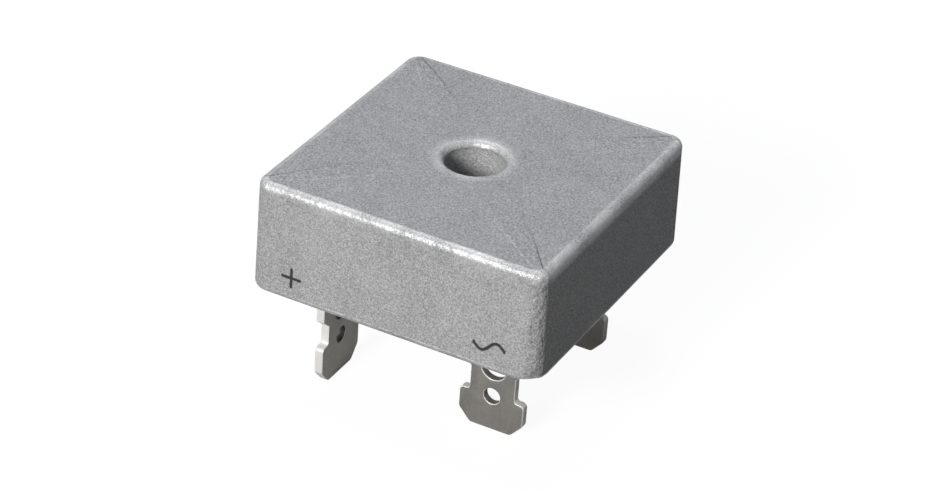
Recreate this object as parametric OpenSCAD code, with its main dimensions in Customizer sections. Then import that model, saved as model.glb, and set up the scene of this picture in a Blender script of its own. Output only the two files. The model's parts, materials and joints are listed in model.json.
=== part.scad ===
// Chassis-mounted bridge rectifier in a square metal case, with four quick-connect blades.
// Millimetres, +Z up. The origin is on the bore axis, level with the tips of the blades.
// The seat face, which goes against a heat sink, is on top and the blades point down.
// The face that carries the polarity marks is on the -Y side.

/* [Case] */
// Side of the square case, measured at its open rim
case_w = 28.6; // [28:0.1:32]
// Height of the case, from its rim to its seat face
case_h = 11; // [10.4:0.1:14]
// How far each side leans in between the rim and the seat face
case_lean = 0.22; // [0.1:0.02:0.4]
// Radius of the upright corners at the rim
case_corner_r = 1.7; // [1.5:0.1:3]
// Radius of the edge round the seat face
seat_edge_r = 0.7; // [0.5:0.05:1.1]
// Radius of the outer edge of the rim
rim_edge_r = 0.7; // [0.2:0.05:0.9]
// Thickness of the side walls at the rim
wall_t = 1.4; // [1.1:0.1:1.6]
// Thickness of the floor behind the seat face
floor_t = 2; // [1.5:0.1:2.4]
// Radius of the upright corners of the cavity at the rim
cavity_corner_r = 1.3; // [0.8:0.1:2]
// Radius where the floor of the cavity meets its walls
cavity_edge_r = 0.4; // [0.2:0.1:0.5]
// Chamfer on the inner edge of the rim
rim_chamfer = 0.25; // [0.1:0.05:0.4]

/* [Mounting bore] */
// Diameter of the bore that the mounting screw goes through
bore_d = 5.5; // [4.6:0.1:5.6]
// Radius that rounds the mouth of the bore at the seat face
bore_mouth_r = 0.65; // [0.3:0.05:0.8]
// Wall of the boss round the bore, at the end next to the blades
boss_wall_t = 1; // [0.8:0.1:1.1]
// How much wider the boss is at its root
boss_lean = 0.1; // [0.05:0.05:0.2]
// How far the boss stops short of the rim
boss_recess = 0.3; // [0.1:0.1:0.6]
// Chamfer on the bore at the end of the boss
bore_chamfer = 0.3; // [0.1:0.05:0.4]

/* [Blade terminals] */
// How far the blades stand out past the rim
blade_reach = 10.2; // [8.5:0.1:12]
// Width of a blade
blade_w = 6.35; // [6:0.05:6.5]
// Thickness of the strip that the terminals are stamped from
blade_t = 0.8; // [0.6:0.05:1]
// Width of the flat tip between its chamfers
tip_w = 4.05; // [3:0.05:5]
// Height of the tip chamfers
tip_h = 1.3; // [0.8:0.1:2]
// Radius that rounds both ends of each tip chamfer
tip_r = 0.5; // [0.2:0.1:0.8]
// Height of the shoulders above the tip
shoulder_h = 3.95; // [3.5:0.05:4.5]
// Radius of the outer corner of each shoulder
shoulder_r = 0.45; // [0.2:0.05:0.6]
// Width of the neck between the side notches
neck_w = 4.45; // [3.8:0.05:5]
// Height above the tip at which the side notches begin to slope back out
notch_top_h = 5.95; // [5.5:0.05:6.5]
// Height over which a notch slopes back out to the full width
notch_slope_h = 0.8; // [0.4:0.1:1]
// Radius in the corner of a notch at the shoulder
notch_r = 0.3; // [0.1:0.05:0.5]
// Diameter of the detent hole
detent_hole_d = 1.6; // [1.4:0.05:2.1]
// Height of the detent hole above the tip
detent_hole_h = 3.9; // [3.3:0.1:4.1]
// Diameter of the wire hole nearer the case
wire_hole_d = 2.5; // [1.8:0.1:2.8]
// Height of the wire hole above the tip
wire_hole_h = 6.9; // [6.6:0.1:7.2]
// How much lower the shoulders and the holes of the AC blades sit
ac_drop = 0.45; // [0:0.05:0.6]
// Length of an AC terminal's soldered foot, beyond its bend
ac_foot = 2; // [1.6:0.1:3]
// Radius inside the bend between blade and foot
bend_r = 0.5; // [0.3:0.05:0.8]

/* [Terminal places] */
// Distance of the AC blades from the bore axis, along the marked face
ac_along = 7.4; // [7:0.05:8.4]
// Distance of the AC blades from the bore axis, square to the marked face
ac_across = 8; // [7.7:0.05:8.6]
// Distance of the plus blade's plane from the bore axis, along the marked face
plus_along = 8.7; // [8.5:0.05:9]
// Distance of the plus blade's middle from the bore axis, square to the marked face
plus_across = 7.8; // [7:0.05:8.4]
// Distance of the minus blade's middle from the bore axis, along the marked face
minus_along = 7.4; // [6.6:0.05:8.4]
// Distance of the minus blade's plane from the bore axis, square to the marked face
minus_across = 8; // [7.9:0.05:8.8]

/* [Circuit inside] */
// Thickness of the insulating sheet on the floor of the case
sheet_t = 0.4; // [0.25:0.05:0.6]
// Thickness of the copper plates
plate_t = 1; // [0.8:0.1:1.3]
// Gap between the plus and the minus plate
plate_gap = 1.2; // [0.8:0.1:2]
// Radius of the plates' outer corners
plate_corner_r = 1.5; // [1:0.1:3]
// Side of a square diode chip
chip_w = 4.2; // [3.8:0.1:4.4]
// Thickness of a diode chip
chip_t = 0.35; // [0.25:0.05:0.5]
// Width of the glass-filled step round a chip's junction
chip_step_w = 0.35; // [0.2:0.05:0.5]
// Distance of the chips from the bore axis, along the marked face
chip_along = 5.6; // [5.4:0.1:5.8]
// Distance of the chips from the bore axis, square to the marked face
chip_across = 5; // [4.8:0.1:5.1]
// Thickness of a solder joint
solder_t = 0.15; // [0.1:0.05:0.2]
// Thickness of the straps that join two chips to an AC terminal
strap_t = 0.8; // [0.6:0.05:1]
// Diameter of the pads that the straps press towards the chips
pad_d = 3; // [2.4:0.1:3.1]
// Height of those pads
pad_h = 0.35; // [0.25:0.05:0.5]
// Diameter of the dimple behind each pad
dimple_d = 1.8; // [1.2:0.1:2.2]
// How far the straps reach past the middle of a chip
strap_margin = 1.7; // [1.5:0.05:1.8]

/* [Potting] */
// How far the potting lies below the rim
potting_recess = 0.9; // [0.6:0.1:1.4]
// Radius of the rise where the potting wets the wall and the boss
meniscus_r = 0.4; // [0.2:0.05:0.5]
// Thickness of the skin at the top of that rise
meniscus_skin = 0.12; // [0.05:0.01:0.2]

/* [Clearances] */
// Gap between the boss and each plate or strap, where potting insulates
boss_gap = 0.65; // [0.5:0.05:0.8]
// Gap between the insulating sheet and the rounded edge of the cavity's floor
sheet_gap = 0.1; // [0.05:0.05:0.3]
// How far the insulating sheet stands out past the plates
sheet_overhang = 0.2; // [0.1:0.05:0.3]
// Distance from the edge of a plate to the end of the foot that is soldered to it
foot_margin = 0.4; // [0.2:0.1:0.8]

/* [Hidden] */
// Smoothness of drawn circles, facets of a rounded tip, and overrun of cuts past a face
$fn = 64;
facets = 4;
over = 1;

// Levels, from the blade tips upwards
rim_z = blade_reach;
seat_z = rim_z + case_h;
floor_z = seat_z - floor_t;
potting_z = rim_z + potting_recess;
boss_z = rim_z + boss_recess;

// Layers, from the floor of the cavity down towards the rim
sheet_z = floor_z - sheet_t;
plate_z = sheet_z - plate_t;
chip_top_z = plate_z - solder_t;
chip_z = chip_top_z - chip_t;
pad_z = chip_z - solder_t;
strap_top_z = pad_z - pad_h;
strap_z = strap_top_z - strap_t;
plate_foot_z = plate_z - solder_t;
strap_foot_z = strap_z - solder_t;

// Cavity and boss
cavity_w = case_w - 2 * wall_t;
cavity_h = floor_z - rim_z;
bore_r = bore_d / 2;
boss_r = bore_r + boss_wall_t;
boss_root_r = boss_r + boss_lean;

// Sheet, plates and straps
sheet_w = cavity_w - 2 * (case_lean + cavity_edge_r + sheet_gap);
plate_edge = sheet_w / 2 - sheet_overhang;
clear_r = boss_root_r + boss_gap;
bend_reach = blade_t / 2 + bend_r;
plus_foot = plate_edge - foot_margin - plus_along - bend_reach;
minus_foot = plate_edge - foot_margin - minus_across - bend_reach;
strap_shelf_x = ac_along - blade_w / 2;
strap_end_x = ac_along + blade_w / 2;
strap_front_y = ac_across - bend_reach;
strap_waist_y = chip_across + strap_margin;
strap_inner_y = min(strap_front_y - ac_foot, chip_across - strap_margin);

// Diode chips: two on the plus plate, then two on the minus plate, front before rear
chip_spots = [for (side = [-1, 1]) for (row = [-1, 1]) [side * chip_along, row * chip_across]];
chip_names = ["chip_plus_front", "chip_plus_rear", "chip_minus_front", "chip_minus_rear"];
plate_solder_names = [for (name = chip_names) str(name, "_plate_solder")];
strap_solder_names = [for (name = chip_names) str(name, "_strap_solder")];
chips = [0 : len(chip_spots) - 1];

// Outline from a centre line out to a side that leans in as it rises, rounded at both ends
module leaning_side(half_w, height, lean, low_r, high_r) {
    tilt = atan(lean / height);
    out = [cos(tilt), sin(tilt)];
    low = [half_w - low_r * (1 + sin(tilt)) / cos(tilt), low_r];
    high = [half_w - (high_r + sin(tilt) * (height - high_r)) / cos(tilt), height - high_r];
    polygon([
        [0, 0], [low.x, 0], low, low + low_r * out,
        high + high_r * out, high, [high.x, height], [0, height]
    ]);
    if (low_r > 0) translate(low) half_disc(low_r);
    if (high_r > 0) translate(high) half_disc(high_r);
}

module half_disc(r) {
    intersection() {
        circle(r);
        translate([0, -r]) square([r, 2 * r]);
    }
}

// Square block with leaning sides: four corner posts and four sides round a core
module leaning_block(width, height, lean, corner_r, low_r = 0, high_r = 0) {
    reach = width / 2 - corner_r;
    translate([-reach, -reach, 0]) cube([2 * reach, 2 * reach, height]);
    for (turn = [0 : 90 : 270]) {
        rotate(turn) translate([reach, reach, 0]) {
            rotate_extrude(angle = 90) leaning_side(corner_r, height, lean, low_r, high_r);
            rotate([90, 0, 0]) linear_extrude(2 * reach) {
                leaning_side(corner_r, height, lean, low_r, high_r);
            }
        }
    }
}

// Space inside the case, from the rim to the floor
module cavity() {
    translate([0, 0, rim_z]) {
        leaning_block(cavity_w, cavity_h, case_lean, cavity_corner_r, high_r = cavity_edge_r);
    }
}

// Round boss that rises from the floor and carries the bore
module boss() {
    translate([0, 0, boss_z]) cylinder(h = floor_z - boss_z, r1 = boss_r, r2 = boss_root_r);
}

// Bore, with its rounded mouth in the seat face and a chamfer at the end of the boss
module bore_cut() {
    translate([0, 0, boss_z - over]) cylinder(h = seat_z - boss_z + 2 * over, r = bore_r);
    translate([0, 0, seat_z - bore_mouth_r]) rotate_extrude() {
        difference() {
            square([bore_r + bore_mouth_r, bore_mouth_r]);
            translate([bore_r + bore_mouth_r, 0]) circle(bore_mouth_r);
        }
    }
    translate([0, 0, boss_z]) cylinder(h = bore_chamfer, r1 = bore_r + bore_chamfer, r2 = bore_r);
}

module case() {
    color([0.66, 0.66, 0.67]) difference() {
        union() {
            difference() {
                translate([0, 0, rim_z]) {
                    leaning_block(case_w, case_h, case_lean, case_corner_r, rim_edge_r, seat_edge_r);
                }
                cavity();
                translate([0, 0, rim_z]) {
                    leaning_block(cavity_w + 2 * rim_chamfer, rim_chamfer, rim_chamfer,
                        cavity_corner_r + rim_chamfer);
                }
            }
            boss();
        }
        bore_cut();
    }
}

module insulating_sheet() {
    color([0.86, 0.84, 0.74]) translate([0, 0, sheet_z]) difference() {
        leaning_block(sheet_w, sheet_t, 0, cavity_corner_r);
        translate([0, 0, -over]) cylinder(h = sheet_t + 2 * over, r = boss_root_r + sheet_gap);
    }
}

// Plate under half of the circuit, cut out round the boss; side is -1 for plus, 1 for minus
module plate(side) {
    color([0.78, 0.47, 0.32]) translate([0, 0, plate_z]) intersection() {
        difference() {
            leaning_block(2 * plate_edge, plate_t, 0, plate_corner_r);
            translate([0, 0, -over]) cylinder(h = plate_t + 2 * over, r = clear_r);
        }
        translate([side * (plate_edge + plate_gap / 2), 0, plate_t / 2]) {
            cube([2 * plate_edge, 3 * plate_edge, 3 * plate_t], center = true);
        }
    }
}

// Points that round a corner about a centre, from one angle to another
function rounding(centre, r, from, to) = [
    for (i = [0 : facets])
        let(turn = from + (to - from) * i / facets)
        centre + r * [cos(turn), sin(turn)]
];

// Front outline of a terminal: chamfered tip, shoulders, notched neck and two holes
module blade_outline(height, drop) {
    half_w = blade_w / 2;
    half_neck = neck_w / 2;
    half_tip = tip_w / 2;
    shoulder_z = shoulder_h - drop;
    chamfer_turn = atan((half_w - half_tip) / tip_h);
    low = [half_tip - tip_r * tan((90 - chamfer_turn) / 2), tip_r];
    high = [half_w - tip_r, tip_h + tip_r * tan(chamfer_turn / 2)];
    half_outline = concat(
        rounding(low, tip_r, -90, -chamfer_turn), rounding(high, tip_r, -chamfer_turn, 0),
        [[half_w, height]]
    );
    last = len(half_outline) - 1;
    difference() {
        polygon(concat(
            half_outline,
            [for (i = [last : -1 : 0]) [-half_outline[i].x, half_outline[i].y]]
        ));
        for (side = [-1, 1]) scale([side, 1]) {
            translate([half_neck + notch_r, shoulder_z + notch_r]) circle(notch_r);
            polygon([
                [half_neck + notch_r, shoulder_z], [half_w + over, shoulder_z],
                [half_w + over, notch_top_h + notch_slope_h], [half_w, notch_top_h + notch_slope_h],
                [half_neck, notch_top_h], [half_neck, shoulder_z + notch_r],
                [half_neck + notch_r, shoulder_z + notch_r]
            ]);
            translate([half_w - shoulder_r, shoulder_z - shoulder_r]) difference() {
                square(shoulder_r + over);
                circle(shoulder_r);
            }
        }
        translate([0, detent_hole_h - drop]) circle(d = detent_hole_d);
        translate([0, wire_hole_h - drop]) circle(d = wire_hole_d);
    }
}

// Side section of a terminal: the strip rises to foot_z, bends through a right angle and lies flat
module strip_section(foot_z, foot) {
    bend = [bend_reach, foot_z - blade_t - bend_r];
    translate([-blade_t / 2, 0]) square([blade_t, bend.y]);
    translate([bend.x, foot_z - blade_t]) square([foot, blade_t]);
    translate(bend) intersection() {
        difference() {
            circle(bend_r + blade_t);
            circle(bend_r);
        }
        translate([-bend_r - blade_t, 0]) square(bend_r + blade_t);
    }
}

// One terminal, its foot turned to +Y
module terminal(foot_z, foot, drop = 0) {
    color([0.66, 0.64, 0.61]) intersection() {
        rotate([90, 0, 90]) linear_extrude(blade_w, center = true) strip_section(foot_z, foot);
        rotate([90, 0, 0]) linear_extrude(2 * (bend_reach + foot + over), center = true) {
            blade_outline(foot_z, drop);
        }
    }
}

// Solder between a terminal's foot and what carries it
module foot_solder(foot_z, foot) {
    color([0.72, 0.73, 0.75]) {
        translate([-blade_w / 2, bend_reach, foot_z]) cube([blade_w, foot, solder_t]);
    }
}

// Where each terminal stands
module at_plus() { translate([-plus_along, -plus_across, 0]) rotate(90) children(); }
module at_minus() { translate([minus_along, minus_across, 0]) children(); }
module at_ac_front() { translate([ac_along, -ac_across, 0]) children(); }
module at_ac_rear() { rotate(180) at_ac_front() children(); }

module plus_terminal() { at_plus() terminal(plate_foot_z, plus_foot); }
module minus_terminal() { at_minus() terminal(plate_foot_z, minus_foot); }
module ac_terminal_front() { at_ac_front() terminal(strap_foot_z, ac_foot, ac_drop); }
module ac_terminal_rear() { at_ac_rear() terminal(strap_foot_z, ac_foot, ac_drop); }
module plus_foot_solder() { at_plus() foot_solder(plate_foot_z, plus_foot); }
module minus_foot_solder() { at_minus() foot_solder(plate_foot_z, minus_foot); }
module ac_foot_solder_front() { at_ac_front() foot_solder(strap_foot_z, ac_foot); }
module ac_foot_solder_rear() { at_ac_rear() foot_solder(strap_foot_z, ac_foot); }

// Square pellet: its lower half narrows to the junction side in a bevelled step, on all four sides
module chip(spot) {
    color([0.30, 0.31, 0.34]) translate([spot.x, spot.y, chip_z]) intersection() {
        rotate([90, 0, 0]) linear_extrude(chip_w, center = true) chip_section();
        rotate([90, 0, 90]) linear_extrude(chip_w, center = true) chip_section();
    }
}
module chip_section() {
    step_h = chip_t / 2;
    face = chip_w / 2 - chip_step_w;
    edge = chip_w / 2;
    polygon([[-face, 0], [face, 0], [edge, step_h], [edge, chip_t], [-edge, chip_t], [-edge, step_h]]);
}

// Solder under the whole of a chip, and over the pad that presses on it
module plate_solder(spot) {
    color([0.72, 0.73, 0.75]) translate([spot.x - chip_w / 2, spot.y - chip_w / 2, chip_top_z]) {
        cube([chip_w, chip_w, solder_t]);
    }
}
module strap_solder(spot) {
    color([0.72, 0.73, 0.75]) translate([spot.x, spot.y, pad_z]) cylinder(h = solder_t, d = pad_d);
}

// Outline of a strap: it spans two chips, widens under the AC terminal's foot and passes the boss
module strap_outline() {
    chip_end_x = chip_along + strap_margin;
    difference() {
        polygon([
            [-chip_end_x, -strap_waist_y], [strap_shelf_x, -strap_waist_y],
            [strap_shelf_x, -strap_front_y], [strap_end_x, -strap_front_y],
            [strap_end_x, -strap_inner_y], [-chip_end_x, -strap_inner_y]
        ]);
        circle(clear_r);
    }
}

// Strap with a pad pressed out towards each chip, which leaves a dimple behind it
module ac_strap_front() {
    color([0.78, 0.47, 0.32]) difference() {
        union() {
            translate([0, 0, strap_z]) linear_extrude(strap_t) strap_outline();
            for (side = [-1, 1]) translate([side * chip_along, -chip_across, strap_top_z]) {
                cylinder(h = pad_h, d = pad_d);
            }
        }
        for (side = [-1, 1]) translate([side * chip_along, -chip_across, strap_z - over]) {
            cylinder(h = over + pad_h, d = dimple_d);
        }
    }
}
module ac_strap_rear() { rotate(180) ac_strap_front(); }

module plus_plate() { plate(-1); }
module minus_plate() { plate(1); }

// What the potting closes round: the sheet and plates on the floor, then what stands on them
module buried_floor() {
    insulating_sheet();
    plus_plate();
    minus_plate();
}
module buried_chips() {
    for (i = chips) {
        chip(chip_spots[i]);
        plate_solder(chip_spots[i]);
        strap_solder(chip_spots[i]);
    }
}
module buried_strips() {
    ac_strap_front();
    ac_strap_rear();
    plus_terminal();
    minus_terminal();
    ac_terminal_front();
    ac_terminal_rear();
    plus_foot_solder();
    minus_foot_solder();
    ac_foot_solder_front();
    ac_foot_solder_rear();
}

// Hollow over the potting, rounded where the potting climbs the wall and the boss
module potting_dish() {
    dish_lean = case_lean * potting_recess / cavity_h;
    rise_r = boss_r + meniscus_skin + meniscus_r;
    difference() {
        translate([0, 0, rim_z]) {
            leaning_block(cavity_w - 2 * meniscus_skin, potting_recess, dish_lean,
                cavity_corner_r - meniscus_skin, high_r = meniscus_r);
        }
        translate([0, 0, potting_z - meniscus_r]) rotate_extrude() difference() {
            square([rise_r, meniscus_r + over]);
            translate([rise_r, 0]) circle(meniscus_r);
        }
    }
}

module potting() {
    color([0.70, 0.69, 0.65]) difference() {
        difference() {
            difference() {
                cavity();
                translate([-cavity_w, -cavity_w, rim_z - over]) {
                    cube([2 * cavity_w, 2 * cavity_w, potting_recess - meniscus_r + over]);
                }
                potting_dish();
                boss();
            }
            buried_floor();
        }
        buried_chips();
        buried_strips();
    }
}

case();
potting();
insulating_sheet();
plus_plate();
minus_plate();
ac_strap_front();
ac_strap_rear();
plus_terminal();
minus_terminal();
ac_terminal_front();
ac_terminal_rear();
plus_foot_solder();
minus_foot_solder();
ac_foot_solder_front();
ac_foot_solder_rear();
for (i = chips) {
    chip(chip_spots[i]);
    plate_solder(chip_spots[i]);
    strap_solder(chip_spots[i]);
}
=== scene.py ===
import json
import math

import bmesh
import bpy
from mathutils import Matrix, Vector


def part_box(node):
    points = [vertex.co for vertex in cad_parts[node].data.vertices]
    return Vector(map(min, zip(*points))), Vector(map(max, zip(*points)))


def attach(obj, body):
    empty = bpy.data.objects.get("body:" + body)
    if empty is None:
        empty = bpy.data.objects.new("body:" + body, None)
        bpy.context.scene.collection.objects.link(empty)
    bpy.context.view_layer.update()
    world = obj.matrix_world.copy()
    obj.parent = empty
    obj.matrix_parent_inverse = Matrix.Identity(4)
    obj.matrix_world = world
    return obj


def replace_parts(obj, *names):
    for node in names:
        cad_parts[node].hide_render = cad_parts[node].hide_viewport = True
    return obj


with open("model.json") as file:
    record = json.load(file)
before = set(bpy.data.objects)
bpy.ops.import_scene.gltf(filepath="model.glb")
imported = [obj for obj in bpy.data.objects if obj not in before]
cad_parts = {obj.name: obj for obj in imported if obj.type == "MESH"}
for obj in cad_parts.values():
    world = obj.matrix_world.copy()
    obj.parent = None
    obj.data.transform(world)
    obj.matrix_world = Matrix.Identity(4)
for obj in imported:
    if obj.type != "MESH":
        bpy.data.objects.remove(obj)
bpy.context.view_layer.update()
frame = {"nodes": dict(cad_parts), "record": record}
nodes = frame["nodes"]
mm = 0.001


# node helpers, for geometry trees and for materials

def plug(tree, socket, value):
    if isinstance(value, bpy.types.NodeSocket):
        tree.links.new(value, socket)
    elif value is not None:
        socket.default_value = value


def addNode(tree, kind, plugs=None, **settings):
    node = tree.nodes.new(kind)
    for name, value in settings.items():
        setattr(node, name, value)
    for name, value in (plugs or {}).items():
        plug(tree, node.inputs[name], value)
    return node


def calc(tree, operation, *values, clamp=False):
    node = tree.nodes.new("ShaderNodeMath")
    node.operation, node.use_clamp = operation, clamp
    for socket, value in zip(node.inputs, values):
        plug(tree, socket, value)
    return node.outputs[0]


def vectorCalc(tree, operation, *values):
    node = tree.nodes.new("ShaderNodeVectorMath")
    node.operation = operation
    for socket, value in zip(node.inputs, values):
        plug(tree, socket, value)
    return node.outputs["Value" if operation in ("LENGTH", "DISTANCE", "DOT_PRODUCT") else "Vector"]


def blendBetween(tree, value, start, end, low=0.0, high=1.0):
    node = addNode(tree, "ShaderNodeMapRange", interpolation_type="SMOOTHSTEP")
    ends = (("Value", value), ("From Min", start), ("From Max", end), ("To Min", low), ("To Max", high))
    for name, number in ends:
        plug(tree, node.inputs[name], number)
    return node.outputs["Result"]


def mixTint(tree, factor, first, second):
    node = tree.nodes.new("ShaderNodeMix")
    node.data_type = "RGBA"
    plug(tree, node.inputs["Factor"], factor)
    plug(tree, node.inputs[6], first)
    plug(tree, node.inputs[7], second)
    return node.outputs[2]


def newTree(name, kind, inputs, outputs):
    tree = bpy.data.node_groups.new(name, kind)
    for title, socketType, default in inputs:
        socket = tree.interface.new_socket(name=title, in_out="INPUT", socket_type=socketType)
        if default is not None:
            socket.default_value = default
    for title, socketType in outputs:
        tree.interface.new_socket(name=title, in_out="OUTPUT", socket_type=socketType)
    return tree, tree.nodes.new("NodeGroupInput").outputs, tree.nodes.new("NodeGroupOutput").inputs


# effects that several finishes share

def buildGrainGroup():
    # fine speckle with a slower mottle under it, as on blasted, cast or frosted surfaces
    tree, given, result = newTree("surfaceGrain", "ShaderNodeTree",
        [("Position", "NodeSocketVector", None), ("Grain Size", "NodeSocketFloat", 0.0002),
         ("Mottle Size", "NodeSocketFloat", 0.003), ("Mottle Share", "NodeSocketFloat", 0.3),
         ("Seed", "NodeSocketFloat", 0.0)],
        [("Shade", "NodeSocketFloat"), ("Height", "NodeSocketFloat"), ("Mottle", "NodeSocketFloat")])
    fine = addNode(tree, "ShaderNodeTexNoise", {
        "Vector": given["Position"], "W": given["Seed"], "Scale": calc(tree, "DIVIDE", 1.0, given["Grain Size"]),
        "Detail": 2.0, "Roughness": 0.62}, noise_dimensions="4D").outputs["Fac"]
    cells = addNode(tree, "ShaderNodeTexVoronoi", {
        "Vector": given["Position"], "Scale": calc(tree, "DIVIDE", 0.62, given["Grain Size"]),
        "Randomness": 1.0}, feature="F1").outputs["Distance"]
    mottle = addNode(tree, "ShaderNodeTexNoise", {
        "Vector": given["Position"], "W": given["Seed"], "Scale": calc(tree, "DIVIDE", 1.0, given["Mottle Size"]),
        "Detail": 3.0, "Roughness": 0.55}, noise_dimensions="4D").outputs["Fac"]
    grain = blendBetween(tree, fine, 0.3, 0.7)
    peaks = calc(tree, "ADD", calc(tree, "MULTIPLY", grain, 0.65), calc(tree, "MULTIPLY", cells, 0.35))
    fineShare = calc(tree, "MULTIPLY", peaks, calc(tree, "SUBTRACT", 1.0, given["Mottle Share"]))
    slowShare = calc(tree, "MULTIPLY", mottle, given["Mottle Share"])
    tree.links.new(calc(tree, "ADD", fineShare, slowShare), result["Shade"])
    tree.links.new(peaks, result["Height"])
    tree.links.new(mottle, result["Mottle"])
    return tree


def buildPitGroup():
    # a few small round pits or bubbles, each with a soft edge
    tree, given, result = newTree("smallPits", "ShaderNodeTree",
        [("Position", "NodeSocketVector", None), ("Spacing", "NodeSocketFloat", 0.002),
         ("Pit Size", "NodeSocketFloat", 0.0002), ("Share", "NodeSocketFloat", 0.3)],
        [("Pit", "NodeSocketFloat")])
    cell = addNode(tree, "ShaderNodeTexVoronoi", {
        "Vector": given["Position"], "Scale": calc(tree, "DIVIDE", 1.0, given["Spacing"])}, feature="F1")
    reach = calc(tree, "DIVIDE", given["Pit Size"], given["Spacing"])
    near = blendBetween(tree, cell.outputs["Distance"], calc(tree, "MULTIPLY", reach, 0.5), reach, 1.0, 0.0)
    pick = addNode(tree, "ShaderNodeSeparateColor", {"Color": cell.outputs["Color"]}).outputs["Red"]
    chosen = calc(tree, "LESS_THAN", pick, given["Share"])
    tree.links.new(calc(tree, "MULTIPLY", near, chosen), result["Pit"])
    return tree


def buildRollGroup():
    # long streaks that rolling leaves along a strip, with a few scratches from handling
    tree, given, result = newTree("rolledStreaks", "ShaderNodeTree",
        [("Position", "NodeSocketVector", None), ("Streak Width", "NodeSocketFloat", 0.00015),
         ("Streak Length", "NodeSocketFloat", 0.004), ("Seed", "NodeSocketFloat", 0.0)],
        [("Streak", "NodeSocketFloat"), ("Scratch", "NodeSocketFloat")])
    squeeze = addNode(tree, "ShaderNodeCombineXYZ", {
        "X": 1.0, "Y": 1.0, "Z": calc(tree, "DIVIDE", given["Streak Width"], given["Streak Length"])}).outputs[0]
    along = vectorCalc(tree, "MULTIPLY", given["Position"], squeeze)
    streak = addNode(tree, "ShaderNodeTexNoise", {
        "Vector": along, "W": given["Seed"], "Scale": calc(tree, "DIVIDE", 1.0, given["Streak Width"]),
        "Detail": 4.0, "Roughness": 0.6}, noise_dimensions="4D").outputs["Fac"]
    slanted = addNode(tree, "ShaderNodeMapping", {
        "Vector": given["Position"], "Rotation": (0.35, 0.3, 0.0), "Scale": (1.0, 1.0, 0.05)}).outputs[0]
    line = addNode(tree, "ShaderNodeTexVoronoi", {"Vector": slanted, "Scale": 900.0}, feature="DISTANCE_TO_EDGE")
    tree.links.new(streak, result["Streak"])
    tree.links.new(blendBetween(tree, line.outputs["Distance"], 0.0, 0.02, 1.0, 0.0), result["Scratch"])
    return tree


def buildMarkGroup():
    # the generic signs for the plus blade and for the alternating-current blade, in printed strokes
    tree, given, result = newTree("polaritySigns", "ShaderNodeTree",
        [("Position", "NodeSocketVector", None), ("Stroke", "NodeSocketFloat", 0.0003),
         ("Ragged Edge", "NodeSocketFloat", 0.00006), ("Plus X", "NodeSocketFloat", 0.0),
         ("Plus Z", "NodeSocketFloat", 0.0), ("Plus Reach", "NodeSocketFloat", 0.001),
         ("Wave X", "NodeSocketFloat", 0.0), ("Wave Z", "NodeSocketFloat", 0.0),
         ("Wave Length", "NodeSocketFloat", 0.003), ("Wave Height", "NodeSocketFloat", 0.0005),
         ("Front Y", "NodeSocketFloat", -0.01)],
        [("Ink", "NodeSocketFloat")])
    spread = addNode(tree, "ShaderNodeTexNoise", {
        "Vector": given["Position"], "Scale": 9000.0, "Detail": 2.0}).outputs["Fac"]
    ragged = calc(tree, "MULTIPLY", calc(tree, "SUBTRACT", spread, 0.5), given["Ragged Edge"])
    axes = addNode(tree, "ShaderNodeSeparateXYZ", {"Vector": given["Position"]}).outputs
    soft = 0.00006

    def distanceToBar(across, along, reach):
        beyond = calc(tree, "MAXIMUM", calc(tree, "SUBTRACT", calc(tree, "ABSOLUTE", along), reach), 0.0)
        squares = calc(tree, "ADD", calc(tree, "POWER", across, 2.0), calc(tree, "POWER", beyond, 2.0))
        return calc(tree, "SQRT", squares)

    plusX = calc(tree, "SUBTRACT", axes["X"], given["Plus X"])
    plusZ = calc(tree, "SUBTRACT", axes["Z"], given["Plus Z"])
    toPlus = calc(tree, "MINIMUM", distanceToBar(calc(tree, "ABSOLUTE", plusZ), plusX, given["Plus Reach"]),
        distanceToBar(calc(tree, "ABSOLUTE", plusX), plusZ, given["Plus Reach"]))
    waveX = calc(tree, "SUBTRACT", axes["X"], given["Wave X"])
    waveZ = calc(tree, "SUBTRACT", axes["Z"], given["Wave Z"])
    half = calc(tree, "MULTIPLY", given["Wave Length"], 0.5)
    held = calc(tree, "MINIMUM", calc(tree, "MAXIMUM", waveX, calc(tree, "MULTIPLY", half, -1.0)), half)
    turn = calc(tree, "MULTIPLY", calc(tree, "DIVIDE", held, given["Wave Length"]), 2 * math.pi)
    crest = calc(tree, "MULTIPLY", calc(tree, "SINE", turn), given["Wave Height"])
    slope = calc(tree, "MULTIPLY", calc(tree, "COSINE", turn), 2 * math.pi)
    slope = calc(tree, "DIVIDE", calc(tree, "MULTIPLY", slope, given["Wave Height"]), given["Wave Length"])
    lean = calc(tree, "SQRT", calc(tree, "ADD", calc(tree, "POWER", slope, 2.0), 1.0))
    off = calc(tree, "DIVIDE", calc(tree, "ABSOLUTE", calc(tree, "SUBTRACT", waveZ, crest)), lean)
    toWave = distanceToBar(off, waveX, half)
    nearest = calc(tree, "ADD", calc(tree, "MINIMUM", toPlus, toWave), ragged)
    edge = calc(tree, "MULTIPLY", given["Stroke"], 0.5)
    ink = blendBetween(tree, nearest,
        calc(tree, "SUBTRACT", edge, soft), calc(tree, "ADD", edge, soft), 1.0, 0.0)
    onFront = calc(tree, "LESS_THAN", axes["Y"], given["Front Y"])
    tree.links.new(calc(tree, "MULTIPLY", ink, onFront), result["Ink"])
    return tree


grainGroup, pitGroup = buildGrainGroup(), buildPitGroup()
rollGroup, markGroup = buildRollGroup(), buildMarkGroup()
print("stage: shared effects built")


# finishes

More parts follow.
